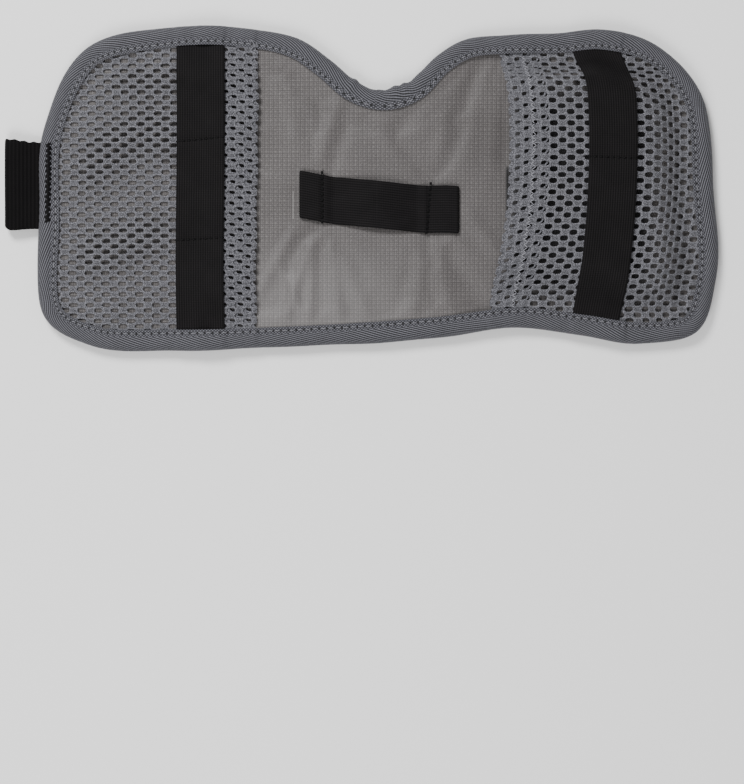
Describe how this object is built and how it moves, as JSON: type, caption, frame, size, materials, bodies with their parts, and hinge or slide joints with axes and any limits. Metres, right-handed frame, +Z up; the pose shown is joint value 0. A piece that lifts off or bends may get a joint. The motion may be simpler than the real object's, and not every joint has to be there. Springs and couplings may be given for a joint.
{
  "type": "folding first-aid pouch",
  "caption": "Folding first-aid wrap of two padded leaves on a notched spine, lying open, with mesh pockets, elastic loops, taped edge and a webbing pull loop.",
  "frame": {"origin": "middle of the spine's outer face, which lies on the surface the opened wrap rests on", "axes": "+X from the left leaf to the right leaf across both folds, +Y towards the notched edge, +Z up out of the lining"},
  "size_m": [0.3365, 0.1533, 0.023],
  "materials": {
    "shell_cloth": "coated plain-weave nylon",
    "foam_sheet": "soft foam sheet, cloth-faced",
    "lining_cloth": "ripstop, satin",
    "binding_tape": "twill weave, matte",
    "grey_thread": "sewing thread",
    "pocket_mesh": "knitted open mesh",
    "black_elastic": "ribbed woven elastic",
    "black_webbing": "cross-ribbed webbing",
    "black_thread": "sewing thread"
  },
  "bodies": {
    "spine": {"spine_shell": "shell_cloth", "spine_foam": "foam_sheet", "spine_lining": "lining_cloth", "spine_binding_notch": "binding_tape", "spine_binding_foot": "binding_tape", "spine_seam_notch": "grey_thread", "spine_seam_foot": "grey_thread", "holding_loop": "black_elastic"},
    "left_leaf": {"left_shell": "shell_cloth", "left_foam": "foam_sheet", "left_lining": "lining_cloth", "left_binding": "binding_tape", "left_seam": "grey_thread", "left_mesh_pocket": "pocket_mesh", "left_band": "black_elastic", "left_band_row_lower": "black_thread", "left_band_row_upper": "black_thread", "holding_loop_end_left": "black_elastic", "holding_loop_row_left": "black_thread", "pull_loop_bartack": "black_thread"},
    "right_leaf": {"right_shell": "shell_cloth", "right_foam": "foam_sheet", "right_lining": "lining_cloth", "right_binding": "binding_tape", "right_seam": "grey_thread", "right_mesh_pocket": "pocket_mesh", "right_band": "black_elastic", "right_band_row": "black_thread", "holding_loop_end_right": "black_elastic", "holding_loop_row_right": "black_thread"},
    "pull_loop_body": {"pull_loop": "black_webbing"}
  },
  "joints": [
    {"name": "left_leaf_fold", "type": "hinge", "parent": "spine", "child": "left_leaf", "pos_m": [-0.019, 0, 0.001], "axis": [0, 1, 0], "range_deg": [0, 90]},
    {"name": "right_leaf_fold", "type": "hinge", "parent": "spine", "child": "right_leaf", "pos_m": [0.019, 0, 0.001], "axis": [0, -1, 0], "range_deg": [0, 90]},
    {"name": "pull_loop_swing", "type": "hinge", "parent": "left_leaf", "child": "pull_loop_body", "pos_m": [-0.1616, 0.0012, 0.0043], "axis": [0, 1, 0], "range_deg": [-60, 80]}
  ]
}
